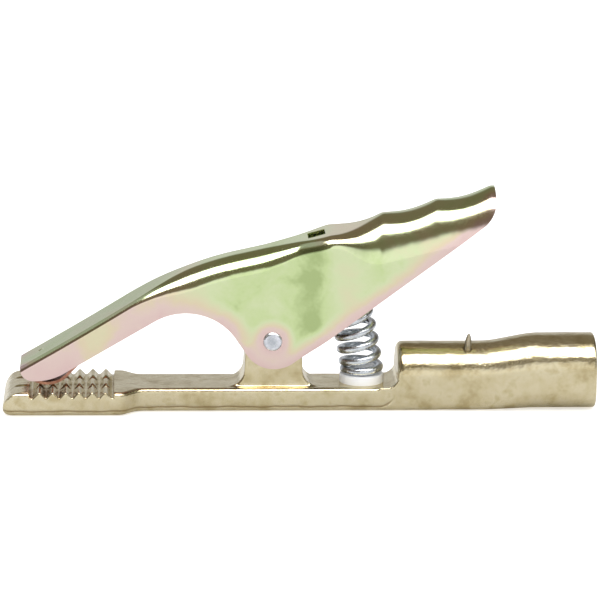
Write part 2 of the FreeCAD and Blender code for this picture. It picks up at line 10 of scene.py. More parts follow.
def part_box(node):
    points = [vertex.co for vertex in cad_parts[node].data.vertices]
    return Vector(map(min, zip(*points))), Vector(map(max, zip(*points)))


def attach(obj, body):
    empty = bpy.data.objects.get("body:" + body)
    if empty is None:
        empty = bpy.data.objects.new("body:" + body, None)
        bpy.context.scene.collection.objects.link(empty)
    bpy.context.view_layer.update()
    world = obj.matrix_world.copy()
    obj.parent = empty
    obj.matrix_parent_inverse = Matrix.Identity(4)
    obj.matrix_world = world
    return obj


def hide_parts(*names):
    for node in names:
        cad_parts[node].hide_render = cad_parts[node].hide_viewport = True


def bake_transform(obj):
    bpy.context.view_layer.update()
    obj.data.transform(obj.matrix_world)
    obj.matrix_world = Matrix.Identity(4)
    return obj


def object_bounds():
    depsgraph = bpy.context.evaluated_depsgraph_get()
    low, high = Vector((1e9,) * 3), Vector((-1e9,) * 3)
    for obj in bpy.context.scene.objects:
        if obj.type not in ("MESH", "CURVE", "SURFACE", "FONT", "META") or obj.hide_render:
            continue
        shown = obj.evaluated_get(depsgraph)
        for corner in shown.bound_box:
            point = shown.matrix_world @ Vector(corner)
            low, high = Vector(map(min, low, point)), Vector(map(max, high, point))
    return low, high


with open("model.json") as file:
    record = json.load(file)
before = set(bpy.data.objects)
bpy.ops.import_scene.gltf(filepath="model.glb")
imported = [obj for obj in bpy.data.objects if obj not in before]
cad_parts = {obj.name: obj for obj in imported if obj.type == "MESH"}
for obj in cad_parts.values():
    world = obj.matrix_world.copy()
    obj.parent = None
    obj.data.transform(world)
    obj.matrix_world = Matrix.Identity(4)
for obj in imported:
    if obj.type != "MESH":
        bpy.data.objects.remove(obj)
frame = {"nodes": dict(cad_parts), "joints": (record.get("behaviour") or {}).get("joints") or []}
cad_low, cad_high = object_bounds()

# Ground clamp for welding. Shapes are worked out in millimetres in the CAD row's frame and are
# turned into metres when a mesh is made. X runs towards the cable socket, Z is up.

MM = 0.001


def box_mm(node):
    """Lowest and highest corner of a CAD node in millimetres."""
    low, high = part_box(node)
    return np.array(low) / MM, np.array(high) / MM


HINGE = frame["joints"][0]
PIVOT_Z = HINGE["pos_m"][2] / MM
LEVER_LOW, LEVER_HIGH = box_mm("handle_stamping")
SEAT_LOW, SEAT_HIGH = box_mm("spring_seat")
SPRING_FOOT_Z = box_mm("return_spring")[0][2]
STRAP_HIGH = box_mm("shunt_strap")[1]

# Pressed lever: sheet, bend line, widths and rounding of its arched section
SHEET = 2.0
LEVER_BEND_X = -27.8
LEVER_BEND_ABOVE_PIVOT = 25.8
FRONT_SLOPE = math.tan(math.radians(30.0))
REAR_SLOPE = math.tan(math.radians(14.05))
BEND_HALF_LENGTH = 15.8
BOW_X = -36.0
BOW_LENGTH = 24.0
BOW_RISE = 1.1
FRONT_HALF_W = 10.0
GRIP_HALF_W = LEVER_HIGH[1]
STEP_X = (8.0, 20.0)
RISE_X = (12.0, 44.0)
GRIP_RISE = 1.9

# Upper radius of the section at the nose, the lug, the step and the grip, the stretches along X
# over which it changes, and the grip's larger flank radius with the angle at which it begins
CROWN_R = (2.15, 7.7, 4.5, 11.0)
CROWN_R_X = ((-51.0, -27.0), (-4.0, 14.0), (20.0, 38.0))
FLANK_R = 24.0
FLANK_ANGLE = math.radians(58.0)

# Finger scallops of the grip
SCALLOP_PITCH = 19.0
SCALLOP_START_X = 19.8
SCALLOP_DEPTH = 1.35
CUSP_SOFTNESS = 0.08

# Lower outline of the lever's flanges: x, z and rounding radius of each corner
NOSE_X = LEVER_LOW[0]
TAIL_X = LEVER_HIGH[0]
NOSE_CORNER_R = 4.5
TAIL_CORNER_R = 12.0
FLANGE_CORNERS = (
    (NOSE_X, 30.0, 0.0),
    (NOSE_X, 11.1, NOSE_CORNER_R),
    (-78.2, 11.1, 20.0),
    (-24.2, 42.9, 21.5),
    (-2.2, 10.3, 11.6),
    (TAIL_X, 70.4, TAIL_CORNER_R),
    (TAIL_X, 90.0, 0.0),
)

# Slot in the web, the tab bent down out of it, and the stake mark near the nose
SLOT_X = (12.5, 18.5)
SLOT_HALF_W = 4.0
TAB_MIDDLE_X = 20.15
TAB_END_Z = 57.0
TAB_T = 1.6
TAB_HALF_W = 2.4
TAB_ROOT_LENGTH = 2.6
TAB_ROOT_RISE = 0.45
TAB_BELOW_WEB = 0.1
TAB_BEND_R = 1.4
TAB_CORNER_R = 1.2
DIMPLE_X = -81.8
DIMPLE_R = 0.55
DIMPLE_DEPTH = 0.55

# Broken edges of sheet and tab, and the angle from which an edge counts as sharp
SHEET_EDGE_BREAK = 0.45
TAB_EDGE_BREAK = 0.3
SHARP_EDGE = math.radians(50.0)

# Mesh of the lever: pitch of its columns along X and of its rows round the bend and down the side
COLUMN_PITCH = 0.7
COLUMN_ROOM = 0.3
STAKE_REACH = 1.6
TAIL_SWEEP = math.radians(50.0)
ARC_POINTS = 91
BEND_SHARE = 0.8
BEND_ROWS = 28
SIDE_ROWS = 36

# Chromate film as a share of its full thickness: at edges, on the sides at the jaw and the lug,
# what it loses on the grip and the jaw's tip, and what the web gains at the jaw
FILM_EDGE = 0.12
FILM_JAW = 0.28
FILM_LUG = 0.82
FILM_JAW_TO_LUG_X = (-46.0, -8.0)
GRIP_LOSS = 0.16
GRIP_LOSS_X = (26.0, 56.0)
TIP_LOSS = 0.65
TIP_LOSS_REACH = (8.0, 24.0)
WEB_GAIN = 0.39
WEB_GAIN_X = (-40.0, -25.0)
EDGE_FADE = 8.5
RIVET_HALO_R = (4.0, 9.0)
TAB_FILM = 0.25

# Patches of film: on the side (1) or the web (0), change in thickness, middle and half length in X
YELLOW_PATCH_X = -63.0
YELLOW_PATCH_L = 6.5
YELLOW_PATCH_TO_EDGE = 0.8
FILM_PATCHES = (
    (0, -0.40, 27.0, 12.0),
    # The side patch at x = 14.5 thickens the film into a darker green as painted shade of the joggle.
    (1, 0.20, 14.5, 5.0),
    (1, -0.16, 27.0, 6.0),
    (1, 0.14, YELLOW_PATCH_X, YELLOW_PATCH_L),
)

# Spring: a right-hand coil that leans from the seat to the lever and bows towards the jaw
WIRE_R = 1.45
COIL_R = 6.4
SPRING_TURNS = 10.1
CLOSED_TURNS = 1.0
SPRING_LEAN = math.radians(14.3)
SPRING_BOW = 6.4
POINTS_PER_TURN = 48
WIRE_SIDES = 16
SPRING_TOP = (22.3, 57.6)

# Skin of the casting: mesh size, smoothing, and its low waves
SKIN_VOXEL = 0.42
SKIN_SMOOTHING = 4
SKIN_WAVE_H = 0.05
SKIN_WAVE_L = 5.0

# Parting crease of the mould along the casting's sides: its waves are height, length and phase
CREASE_DEPTH = 0.3
CREASE_HALF_W = 0.33
CREASE_Z = 1.75
CREASE_WAVES = ((0.12, 3.1, 0.0), (0.08, 1.3, 1.0))
CREASE_CURL_X = (38.0, 44.0)
CREASE_CURL_RISE = 6.4
CREASE_FADE_X = (41.0, 44.0)
CREASE_SIDEWAYS = (0.15, 0.45)

# Laminated copper strap: centre line as x, z and rounding radius
STRAP_PATH = (
    (-73.0, 20.3, 0.0),
    (-26.7, 47.02, 90.0),
    (11.35, 56.2, 11.0),
    (11.35, 22.6, 0.0),
)
STRAP_T = 1.2
STRAP_LEAVES = 4
LEAF_FILL = 0.88
LOOP_SHARE = (0.45, 0.87)
LOOP_SPREAD = 1.6

# Light: brightness of the softbox, the room, the camera's side, the far side and the dark gap
BOX_GLOW = 5.5
ROOM_GLOW = 1.25
FRONT_GLOW = 1.1
REAR_GLOW = 0.74
GAP_GLOW = 0.19
GAP_TINT = (1.0, 0.84, 0.60, 1.0)
WHITE = (1.0, 1.0, 1.0, 1.0)

# Softbox overhead, in x / z and y / z of the direction: its back and front edge are each a level
# at x = 0 and a slope along x, and its left edge a fade along x
BOX_BACK = (-0.14, -0.3)
BOX_FRONT = (-0.95, -0.5)
BOX_LEFT = (-0.58, -0.50)
BOX_BLUR = 0.08

# Room round the softbox. A turn is the direction's angle round X, from 0 towards the camera
# through 90 degrees overhead to 180 at the far side; X ranges are of the unit direction.
GAP_START = (math.radians(5.0), math.radians(21.0))
GAP_START_X = (-0.16, -0.04)
GAP_BLUR = math.radians(8.0)
LEFT_DIM = 0.58
LEFT_DIM_X = (-0.60, -0.30)
RIGHT_DIM = 0.5
RIGHT_DIM_X = (0.2, 0.6)
REAR_TURN = (math.radians(144.0), math.radians(167.0))
FAR_DIM = 0.72
FAR_TURN = (math.radians(167.5), math.radians(172.0))
JAW_GLOW = 0.42
JAW_GLOW_X = (-0.46, -0.38)
JAW_GLOW_TURN = (math.radians(48.0), math.radians(80.0))

# Floor: how white it is, how white mirrors see it, its glow to the camera and right under the clamp
FLOOR_WHITE = (0.93, 0.93, 0.93, 1.0)
FLOOR_MIRRORED = (0.77, 0.77, 0.77, 1.0)
FLOOR_GLOW = 0.45
UNDERSIDE_GLOW = 0.5
UNDERSIDE_GAP = 0.6
FLOOR_DROP = 0.15
FLOOR_HALF_W = 3000.0

# View of the whole clamp: direction, distance and lens
VIEW_AZIMUTH = math.radians(-3.1)
VIEW_ELEVATION = math.radians(13.88)
VIEW_ROLL = math.radians(0.66)
VIEW_DISTANCE = 1.2
VIEW_TARGET = Vector((0.010, 0.0, 0.038))
VIEW_LENS = 203.0
VIEW_SENSOR = 36.0


# ---------------------------------------------------------------- small tools

def smooth(t):
    """Smooth step from 0 to 1 as t goes from 0 to 1; works on numbers and arrays."""
    t = np.clip(t, 0.0, 1.0)
    return t * t * (3.0 - 2.0 * t)


def rise(value, start, end):
    """Smooth step from 0 at start to 1 at end."""
    return smooth((value - start) / (end - start))


def hump(value, middle, half_length):
    """Bell curve that is 1 at its middle."""
    return np.exp(-((value - middle) / half_length) ** 2)


def srgb(red, green, blue):
    """Linear RGBA of a display colour given in 0..255."""
    def linear(value):
        value = value / 255.0
        return value / 12.92 if value <= 0.04045 else ((value + 0.055) / 1.055) ** 2.4
    return linear(red), linear(green), linear(blue), 1.0


def make_piece(name, points, faces, material):
    """Smooth-shaded mesh object from points in millimetres."""
    mesh = bpy.data.meshes.new(name)
    mesh.from_pydata((np.asarray(points, float) * MM).tolist(), [], faces)
    mesh.validate()
    mesh.update()
    mesh.shade_smooth()
    piece = bpy.data.objects.new(name, mesh)
    bpy.context.scene.collection.objects.link(piece)
    mesh.materials.append(material)
    return piece


def apply_modifiers(piece):
    """Replaces a piece's mesh by what its modifiers make of it."""
    bpy.context.view_layer.update()
    graph = bpy.context.evaluated_depsgraph_get()
    mesh = bpy.data.meshes.new_from_object(piece.evaluated_get(graph))
    piece.modifiers.clear()
    piece.data = mesh
    mesh.shade_smooth()
    return piece


def add_modifier(piece, kind, **settings):
    """Modifier of one kind with its settings."""
    modifier = piece.modifiers.new(kind.lower(), kind)
    for key, value in settings.items():
        setattr(modifier, key, value)
    return modifier


def grid_faces(rows, columns, keep=None):
    """Quads of a rows by columns grid; keep(row, column) may leave some out."""
    faces = []
    for r in range(rows - 1):
        for c in range(columns - 1):
            if keep is None or keep(r, c):
                a = r * columns + c
                faces.append((a, a + 1, a + columns + 1, a + columns))
    return faces


def rounded_polyline(corners, step_deg=4.0):
    """Dense points along an open path of (x, z, radius) corners."""
    points = []
    for i, (x, z, radius) in enumerate(corners):
        here = np.array((x, z))
        if radius <= 0.0:
            points.append(here)
            continue
        back = np.array(corners[i - 1][:2]) - here
        ahead = np.array(corners[i + 1][:2]) - here
        back /= np.linalg.norm(back)
        ahead /= np.linalg.norm(ahead)
        half = math.acos(float(back @ ahead)) / 2.0
        middle = (back + ahead) / np.linalg.norm(back + ahead)
        centre = here + middle * radius / math.sin(half)
        start = here + back * radius / math.tan(half) - centre
        sweep = math.pi - 2.0 * half
        turn = 1.0 if back[0] * ahead[1] - back[1] * ahead[0] < 0.0 else -1.0
        count = max(2, int(math.degrees(sweep) / step_deg))
        for k in range(count + 1):
            angle = turn * sweep * k / count
            c, s = math.cos(angle), math.sin(angle)
            points.append(centre + np.array((start[0] * c - start[1] * s, start[0] * s + start[1] * c)))
    return np.array(points)


# ---------------------------------------------------------------- shader tools

def add_node(tree, kind, inputs=None, **settings):
    """Shader node whose inputs are values or other nodes' output sockets."""
    node = tree.nodes.new("ShaderNode" + kind)
    for key, value in settings.items():
        setattr(node, key, value)
    for key, value in (inputs or {}).items():
        if isinstance(value, bpy.types.NodeSocket):
            tree.links.new(value, node.inputs[key])
        else:
            node.inputs[key].default_value = value
    return node


def new_material(name):
    """Material, its node tree, its Principled shader and the object coordinates."""
    material = bpy.data.materials.new(name)
    material.use_nodes = True
    tree = material.node_tree
    shader = tree.nodes["Principled BSDF"]
    place = add_node(tree, "TexCoord").outputs["Object"]
    return material, tree, shader, place


def noise_value(tree, place, size_mm, detail=3.0, roughness=0.5, distortion=0.0):
    """Soft noise from 0 to 1 whose features are about size_mm across."""
    inputs = {
        "Vector": place,
        "Scale": 1.0 / (size_mm * MM),
        "Detail": detail,
        "Roughness": roughness,
        "Distortion": distortion,
    }
    return add_node(tree, "TexNoise", inputs).outputs["Fac"]


def remap(tree, value, low, high, out_low=0.0, out_high=1.0):
    """Value stretched from low..high to out_low..out_high and clamped."""
    inputs = {
        "Value": value,
        "From Min": low,
        "From Max": high,
        "To Min": out_low,
        "To Max": out_high,
    }
    return add_node(tree, "MapRange", inputs).outputs["Result"]


def calc(tree, operation, *values):
    """One arithmetic step."""
    return add_node(tree, "Math", dict(enumerate(values)), operation=operation).outputs["Value"]


def mix_colour(tree, factor, first, second, mode="MIX"):
    """Two colours mixed by a factor."""
    node = add_node(tree, "Mix", {0: factor, 6: first, 7: second}, data_type="RGBA", blend_type=mode)
    return node.outputs[2]


def colour_ramp(tree, factor, stops):
    """Colour looked up along (position, colour) stops."""
    node = add_node(tree, "ValToRGB", {"Fac": factor})
    elements = node.color_ramp.elements
    elements[0].position, elements[0].color = stops[0]
    elements[1].position, elements[1].color = stops[-1]
    for position, colour in stops[1:-1]:
        elements.new(position).color = colour
    return node.outputs["Color"]


def bump(tree, height, depth_mm, normal=None):
    """Normal of a surface raised by height times depth_mm."""
    inputs = {"Height": height, "Strength": 1.0, "Distance": depth_mm * MM}
    if normal is not None:
        inputs["Normal"] = normal
    return add_node(tree, "Bump", inputs).outputs["Normal"]


def plug(tree, shader, **inputs):
    """Connects or sets inputs of the Principled shader; underscores stand for spaces."""
    for key, value in inputs.items():
        socket = shader.inputs[key.replace("_", " ")]
        if isinstance(value, bpy.types.NodeSocket):
            tree.links.new(value, socket)
        else:
            socket.default_value = value


# ---------------------------------------------------------------- materials

def cast_brass():
    """Tumbled brass casting: mottled khaki, fine pits, painted shade in hollows and along the parting
    crease, edges lightened for wear and as a painted highlight.
    """
    material, tree, shader, place = new_material("cast_brass")
    blotch = noise_value(tree, place, 9.0, detail=4.0, roughness=0.6)
    grain = noise_value(tree, place, 0.8, detail=5.0, roughness=0.65)
    base = colour_ramp(tree, blotch, [
        (0.34, srgb(190, 175, 134)),
        (0.46, srgb(210, 197, 160)),
        (0.58, srgb(219, 208, 175)),
        (0.70, srgb(198, 183, 142)),
    ])
    edge = add_node(tree, "NewGeometry").outputs["Pointiness"]
    # Edges are lightened partly for wear and partly as a painted highlight.
    base = mix_colour(tree, remap(tree, edge, 0.54, 0.62, 0.0, 0.6), base, srgb(232, 226, 204))
    # Painted shade: concave corners and hollows are darkened brown where shade falls.
    base = mix_colour(tree, remap(tree, edge, 0.40, 0.475, 0.85, 0.0), base, srgb(122, 98, 62))
    # Painted shade: the parting crease is darkened brown to stand for the shade in its groove.
    crease_shade = add_node(tree, "Attribute", attribute_name="crease_shade").outputs["Fac"]
    base = mix_colour(tree, calc(tree, "MULTIPLY", crease_shade, 0.9), base, srgb(128, 106, 66))
    rough = remap(tree, grain, 0.3, 0.7, 0.15, 0.24)
    relief = bump(tree, grain, 0.014)
    relief = bump(tree, noise_value(tree, place, 5.0, detail=4.0, roughness=0.6), 0.22, relief)
    plug(tree, shader, Base_Color=base, Metallic=0.95, Roughness=rough, Normal=relief)
    return material


def yellow_chromate():
    """Thin iridescent chromate film over bright zinc: pink where thin, yellow, then green where thick."""
    material, tree, shader, place = new_material("yellow_chromate")
    film = add_node(tree, "Attribute", attribute_name="film").outputs["Fac"]
    cloud = noise_value(tree, place, 14.0, detail=3.0, roughness=0.55, distortion=0.6)
    fleck = noise_value(tree, place, 1.3, detail=4.0, roughness=0.7)
    film = calc(tree, "ADD", film, remap(tree, cloud, 0.3, 0.7, -0.13, 0.13))
    film = calc(tree, "ADD", film, remap(tree, fleck, 0.3, 0.7, -0.03, 0.03))
    base = colour_ramp(tree, film, [
        (0.05, srgb(226, 198, 194)),
        (0.22, srgb(229, 206, 198)),
        (0.38, srgb(227, 213, 182)),
        (0.52, srgb(224, 220, 184)),
        (0.70, srgb(216, 227, 182)),
        (0.86, srgb(204, 221, 164)),
        (1.00, srgb(176, 194, 136)),
    ])
    rough = remap(tree, fleck, 0.25, 0.75, 0.10, 0.15)
    relief = bump(tree, noise_value(tree, place, 9.0, detail=2.0), 0.10)
    relief = bump(tree, fleck, 0.004, relief)
    plug(tree, shader, Base_Color=base, Metallic=1.0, Roughness=rough, Normal=relief)
    return material


def bright_zinc(name, tint, roughness, drawn_mm):
    """Zinc plate on steel with faint drawing marks."""
    material, tree, shader, place = new_material(name)
    grain = noise_value(tree, place, drawn_mm, detail=4.0, roughness=0.6)
    dull = noise_value(tree, place, 3.0, detail=2.0)
    base = mix_colour(tree, remap(tree, dull, 0.4, 0.7), tint, srgb(190, 195, 202))
    rough = remap(tree, grain, 0.3, 0.7, roughness * 0.8, roughness * 1.3)
    plug(tree, shader, Base_Color=base, Metallic=1.0, Roughness=rough, Normal=bump(tree, grain, 0.01))
    return material


def copper(name, clean, tarnished):
    """Bare copper with tarnish that follows a soft noise."""
    material, tree, shader, place = new_material(name)
    tarnish = noise_value(tree, place, 4.0, detail=4.0, roughness=0.65)
    scratch = noise_value(tree, place, 0.5, detail=3.0)
    base = mix_colour(tree, remap(tree, tarnish, 0.35, 0.7), clean, tarnished)
    rough = remap(tree, tarnish, 0.3, 0.7, 0.22, 0.4)
    plug(tree, shader, Base_Color=base, Metallic=1.0, Roughness=rough, Normal=bump(tree, scratch, 0.02))
    return material


def white_nylon():
    """Moulded white insulating bush, slightly translucent."""
    material, tree, shader, place = new_material("white_nylon")
    cloud = noise_value(tree, place, 2.5, detail=3.0)
    base = mix_colour(tree, cloud, srgb(252, 252, 252), srgb(243, 245, 248))
    relief = bump(tree, noise_value(tree, place, 0.4, detail=2.0), 0.01)
    plug(tree, shader, Base_Color=base, Roughness=0.35, Subsurface_Weight=0.15, Normal=relief)
    shader.inputs["Subsurface Radius"].default_value = (MM, MM, MM)
    return material


def pin_metal():
    """Hammered pin, brass gone grey, with painted shade along its outline where it turns away from view.
    """
    material, tree, shader, place = new_material("pin_metal")
    stain = noise_value(tree, place, 1.5, detail=3.0)
    base = mix_colour(tree, remap(tree, stain, 0.35, 0.7), srgb(214, 204, 184), srgb(170, 158, 132))
    # Painted shade: the pin darkens and loses its shine where its surface turns away from view, standing
    # for dark reflections along its outline.
    grazing_shade = remap(tree, add_node(tree, "LayerWeight").outputs["Facing"], 0.15, 0.55)
    base = mix_colour(tree, grazing_shade, base, srgb(84, 76, 60))
    metallic = remap(tree, grazing_shade, 0.0, 1.0, 1.0, 0.0)
    plug(tree, shader, Base_Color=base, Metallic=metallic, Specular_IOR_Level=0.1)
    plug(tree, shader, Roughness=remap(tree, stain, 0.3, 0.7, 0.18, 0.32))
    return material


def pale_floor():
    """Plain white floor, bright right up to the clamp as on a light table, clear from below."""
    material, tree, shader, _ = new_material("pale_floor")
    rays = add_node(tree, "LightPath")
    to_camera = calc(tree, "MULTIPLY", rays.outputs["Is Camera Ray"], FLOOR_GLOW)
    touching = calc(tree, "LESS_THAN", rays.outputs["Ray Length"], UNDERSIDE_GAP * MM)
    glow = calc(tree, "MAXIMUM", to_camera, calc(tree, "MULTIPLY", touching, UNDERSIDE_GLOW))
    base = mix_colour(tree, rays.outputs["Is Glossy Ray"], FLOOR_WHITE, FLOOR_MIRRORED)
    from_below = add_node(tree, "NewGeometry").outputs["Backfacing"]
    plug(tree, shader, Base_Color=base, Roughness=0.9, Specular_IOR_Level=0.0)
    plug(tree, shader, Emission_Color=WHITE, Emission_Strength=glow)
    plug(tree, shader, Alpha=calc(tree, "SUBTRACT", 1.0, from_below))
    return material


# ---------------------------------------------------------------- pressed lever

def crown_line(x):
    """Height of the lever's outer skin at its middle, without step and scallops."""
    bend_z = PIVOT_Z + LEVER_BEND_ABOVE_PIVOT
    t = np.clip((x - LEVER_BEND_X + BEND_HALF_LENGTH) / (2.0 * BEND_HALF_LENGTH), 0.0, 1.0)
    past = np.maximum(x - LEVER_BEND_X - BEND_HALF_LENGTH, 0.0)
    sag = (FRONT_SLOPE - REAR_SLOPE) * (BEND_HALF_LENGTH * t * t + past)
    return bend_z + (x - LEVER_BEND_X) * FRONT_SLOPE - sag + BOW_RISE * hump(x, BOW_X, BOW_LENGTH)


def scallop_dip(x):
    """Depth of the finger scallops below the line of their cusps."""
    wave = np.sin(math.pi * (x - SCALLOP_START_X) / SCALLOP_PITCH)
    soft = CUSP_SOFTNESS
    dip = SCALLOP_DEPTH * (np.hypot(wave, soft) - soft) / (math.hypot(1.0, soft) - soft)
    return np.where(x > SCALLOP_START_X, dip, 0.0)


def lever_profile(x):
    """Half width, crown height, crown radius and flank radius of the lever's outer skin at x."""
    half_w = FRONT_HALF_W + (GRIP_HALF_W - FRONT_HALF_W) * rise(x, *STEP_X)
    crown = crown_line(x) + GRIP_RISE * rise(x, *RISE_X) - scallop_dip(x)
    crown_r = CROWN_R[0]
    for before, after, stretch in zip(CROWN_R, CROWN_R[1:], CROWN_R_X):
        crown_r = crown_r + (after - before) * rise(x, *stretch)
    flank_r = crown_r + (FLANK_R - CROWN_R[-1]) * rise(x, *CROWN_R_X[-1])
    return half_w, crown, crown_r, flank_r


def lever_columns():
    """Places along X for the lever's mesh, closer together round its ends, slot and stake mark."""
    nose = NOSE_X + NOSE_CORNER_R * (1.0 - np.cos(np.linspace(0.0, math.pi / 2, 14)))
    tail = TAIL_X - TAIL_CORNER_R * (1.0 - np.cos(np.linspace(0.0, TAIL_SWEEP, 16)))
    middle = np.arange(nose.max() + 2.0 * COLUMN_ROOM, tail.min() - COLUMN_ROOM, COLUMN_PITCH)
    stake = DIMPLE_X + np.linspace(-STAKE_REACH, STAKE_REACH, 17)
    gaps = [(stake.min() - COLUMN_ROOM, stake.max() + COLUMN_ROOM)]
    gaps += [(x - COLUMN_ROOM, x + COLUMN_ROOM) for x in SLOT_X]
    for low, high in gaps:
        middle = middle[(middle < low) | (middle > high)]
    return np.unique(np.concatenate([nose, middle, tail, stake, SLOT_X]))


def lever_section(x, low_z, across):
    """Section at x, from the crown down one side to the flange's edge at low_z, as y, z and way left.

    The scallops fade out round the bend: they dip the crown but not the side.
    """
    half_w, crown, crown_r, flank_r = (float(v) for v in lever_profile(x))
    angles = np.linspace(0.0, math.pi / 2, ARC_POINTS)
    radii = np.where(angles[:-1] < FLANK_ANGLE, crown_r, flank_r)
    middle = (angles[1:] + angles[:-1]) / 2.0
    steps = radii * np.diff(angles)
    out = np.concatenate([[0.0], np.cumsum(steps * np.cos(middle))])
    down = np.concatenate([[0.0], np.cumsum(steps * np.sin(middle))])
    flat = half_w - out[-1]
    run = np.concatenate([[0.0], flat + np.concatenate([[0.0], np.cumsum(steps)])])
    y = np.concatenate([[0.0], flat + out])
    z = crown - np.concatenate([[0.0], down])
    z += float(scallop_dip(x)) * np.sin(np.concatenate([[0.0], angles])) ** 2
    if z[-1] > low_z:
        run = np.append(run, run[-1] + z[-1] - low_z)
        y = np.append(y, y[-1])
        z = np.append(z, low_z)
    total = float(np.interp(-low_z, -z, run))
    bend_end = min(flat + steps.sum(), SLOT_HALF_W + BEND_SHARE * (total - SLOT_HALF_W))
    web, bend, side = across
    places = np.concatenate([
        web,
        SLOT_HALF_W + (bend_end - SLOT_HALF_W) * bend,
        bend_end + (total - bend_end) * side,
    ])
    return np.interp(places, run, y), np.interp(places, run, z), total - places


def lever_surface():
    """Outer skin of the lever as points, quads and each point's distance to the flange's edge."""
    outline = rounded_polyline(FLANGE_CORNERS, 2.0)[1:-1]
    xs = lever_columns()
    lows = np.interp(xs, outline[:, 0], outline[:, 1])
    web = np.concatenate([[0.0, 0.2, 0.4, 0.7, 1.0], np.linspace(1.5, SLOT_HALF_W, 6)])
    across = (web, np.linspace(0.0, 1.0, BEND_ROWS + 1)[1:], np.linspace(0.0, 1.0, SIDE_ROWS + 1)[1:])
    points, to_edge = [], []
    for x, low_z in zip(xs, lows):
        y, z, left = lever_section(x, low_z, across)
        near = np.hypot(outline[:, 0][:, None] - x, outline[:, 1][:, None] - z[None, :]).min(axis=0)
        left = np.minimum(left, near + np.maximum(0.0, left - (z[0] - low_z)))
        points += [(x, -a, b) for a, b in zip(y[::-1], z[::-1])]
        points += [(x, a, b) for a, b in zip(y[1:], z[1:])]
        to_edge += list(left[::-1]) + list(left[1:])
    per_column = len(points) // len(xs)
    mid = per_column // 2
    slot_rows = len(web) - 1

    def keep(r, c):
        inside_x = SLOT_X[0] - 0.01 < xs[r] < SLOT_X[1] - 0.01
        return not (inside_x and mid - slot_rows <= c < mid + slot_rows)

    return np.array(points), grid_faces(len(xs), per_column, keep), np.array(to_edge)


def film_thickness(points, to_edge):
    """Share of the chromate film's full thickness: thin at edges, at the nose and round the rivet."""
    x = points[:, 0]
    _, crown, crown_r, _ = lever_profile(x)
    on_side = smooth((crown - points[:, 2] - 0.3 * crown_r) / (0.35 * crown_r))
    film = FILM_JAW + (FILM_LUG - FILM_JAW) * rise(x, *FILM_JAW_TO_LUG_X)
    film -= GRIP_LOSS * rise(x, *GRIP_LOSS_X)
    film += WEB_GAIN * (1.0 - on_side) * (1.0 - rise(x, *WEB_GAIN_X))
    for side, change, middle, half_length in FILM_PATCHES:
        film += change * (on_side if side else 1.0 - on_side) * hump(x, middle, half_length)
    off_edge = smooth(np.maximum(to_edge, 0.0) / EDGE_FADE)
    off_edge += (1.0 - off_edge) * YELLOW_PATCH_TO_EDGE * hump(x, YELLOW_PATCH_X, YELLOW_PATCH_L)
    off_rivet = rise(np.hypot(x, points[:, 2] - PIVOT_Z), *RIVET_HALO_R)
    off_tip = 1.0 - on_side * TIP_LOSS * (1.0 - rise(x - NOSE_X, *TIP_LOSS_REACH))
    return FILM_EDGE + (film - FILM_EDGE) * off_edge * off_rivet * off_tip


def flat_ring(a, b, half_w):
    """Four corners of a strip's cross-section whose faces pass through the points a and b in x and z."""
    return [(a[0], -half_w, a[1]), (a[0], half_w, a[1]), (b[0], half_w, b[1]), (b[0], -half_w, b[1])]


def bar_of_rings(rings):
    """Points and faces of a closed four-sided bar given by its cross-sections."""
    points = [point for ring in rings for point in ring]
    faces = [(3, 2, 1, 0)]
    for i in range(len(rings) - 1):
        for k in range(4):
            m = (k + 1) % 4
            faces.append((4 * i + k, 4 * i + m, 4 * i + 4 + m, 4 * i + 4 + k))
    last = 4 * len(rings) - 4
    faces.append((last, last + 1, last + 2, last + 3))
    return points, faces


def break_edges(piece, width_mm, segments):
    """Rounds a piece's sharp edges."""
    add_modifier(piece, "BEVEL", width=width_mm * MM, segments=segments,
                 limit_method="ANGLE", angle_limit=SHARP_EDGE)


def spring_tab():
    """Points and faces of the tongue bent down out of the slot to hold the spring's end."""
    bend_z = float(lever_profile(SLOT_X[1])[1]) - SHEET / 2.0 - TAB_BELOW_WEB
    path = rounded_polyline((
        (TAB_MIDDLE_X + TAB_ROOT_LENGTH, bend_z + TAB_ROOT_RISE, 0.0),
        (TAB_MIDDLE_X, bend_z, TAB_BEND_R),
        (TAB_MIDDLE_X, TAB_END_Z, 0.0),
    ), 10.0)
    path = np.vstack([path[:-1], np.linspace(path[-2], path[-1], 6)[1:]])
    heading = np.gradient(path, axis=0)
    heading /= np.linalg.norm(heading, axis=1)[:, None]
    aside = np.stack([-heading[:, 1], heading[:, 0]], axis=1) * TAB_T / 2.0
    from_end = np.linalg.norm(path - path[-1], axis=1)
    corner = 1.0 - np.minimum(from_end / TAB_CORNER_R, 1.0)
    half_w = TAB_HALF_W - TAB_CORNER_R * (1.0 - np.sqrt(1.0 - corner ** 2))
    return bar_of_rings([flat_ring(p - a, p + a, w) for p, a, w in zip(path, aside, half_w)])


def join_tab(lever, material):
    """Adds the spring's tab to the lever's mesh."""
    tab = make_piece("tab", *spring_tab(), material)
    break_edges(tab, TAB_EDGE_BREAK, 3)
    apply_modifiers(tab)
    film = tab.data.attributes.new("film", "FLOAT", "POINT")
    film.data.foreach_set("value", np.full(len(tab.data.vertices), TAB_FILM, np.float32))
    both = bmesh.new()
    both.from_mesh(lever.data)
    both.from_mesh(tab.data)
    both.to_mesh(lever.data)
    both.free()
    bpy.data.objects.remove(tab)


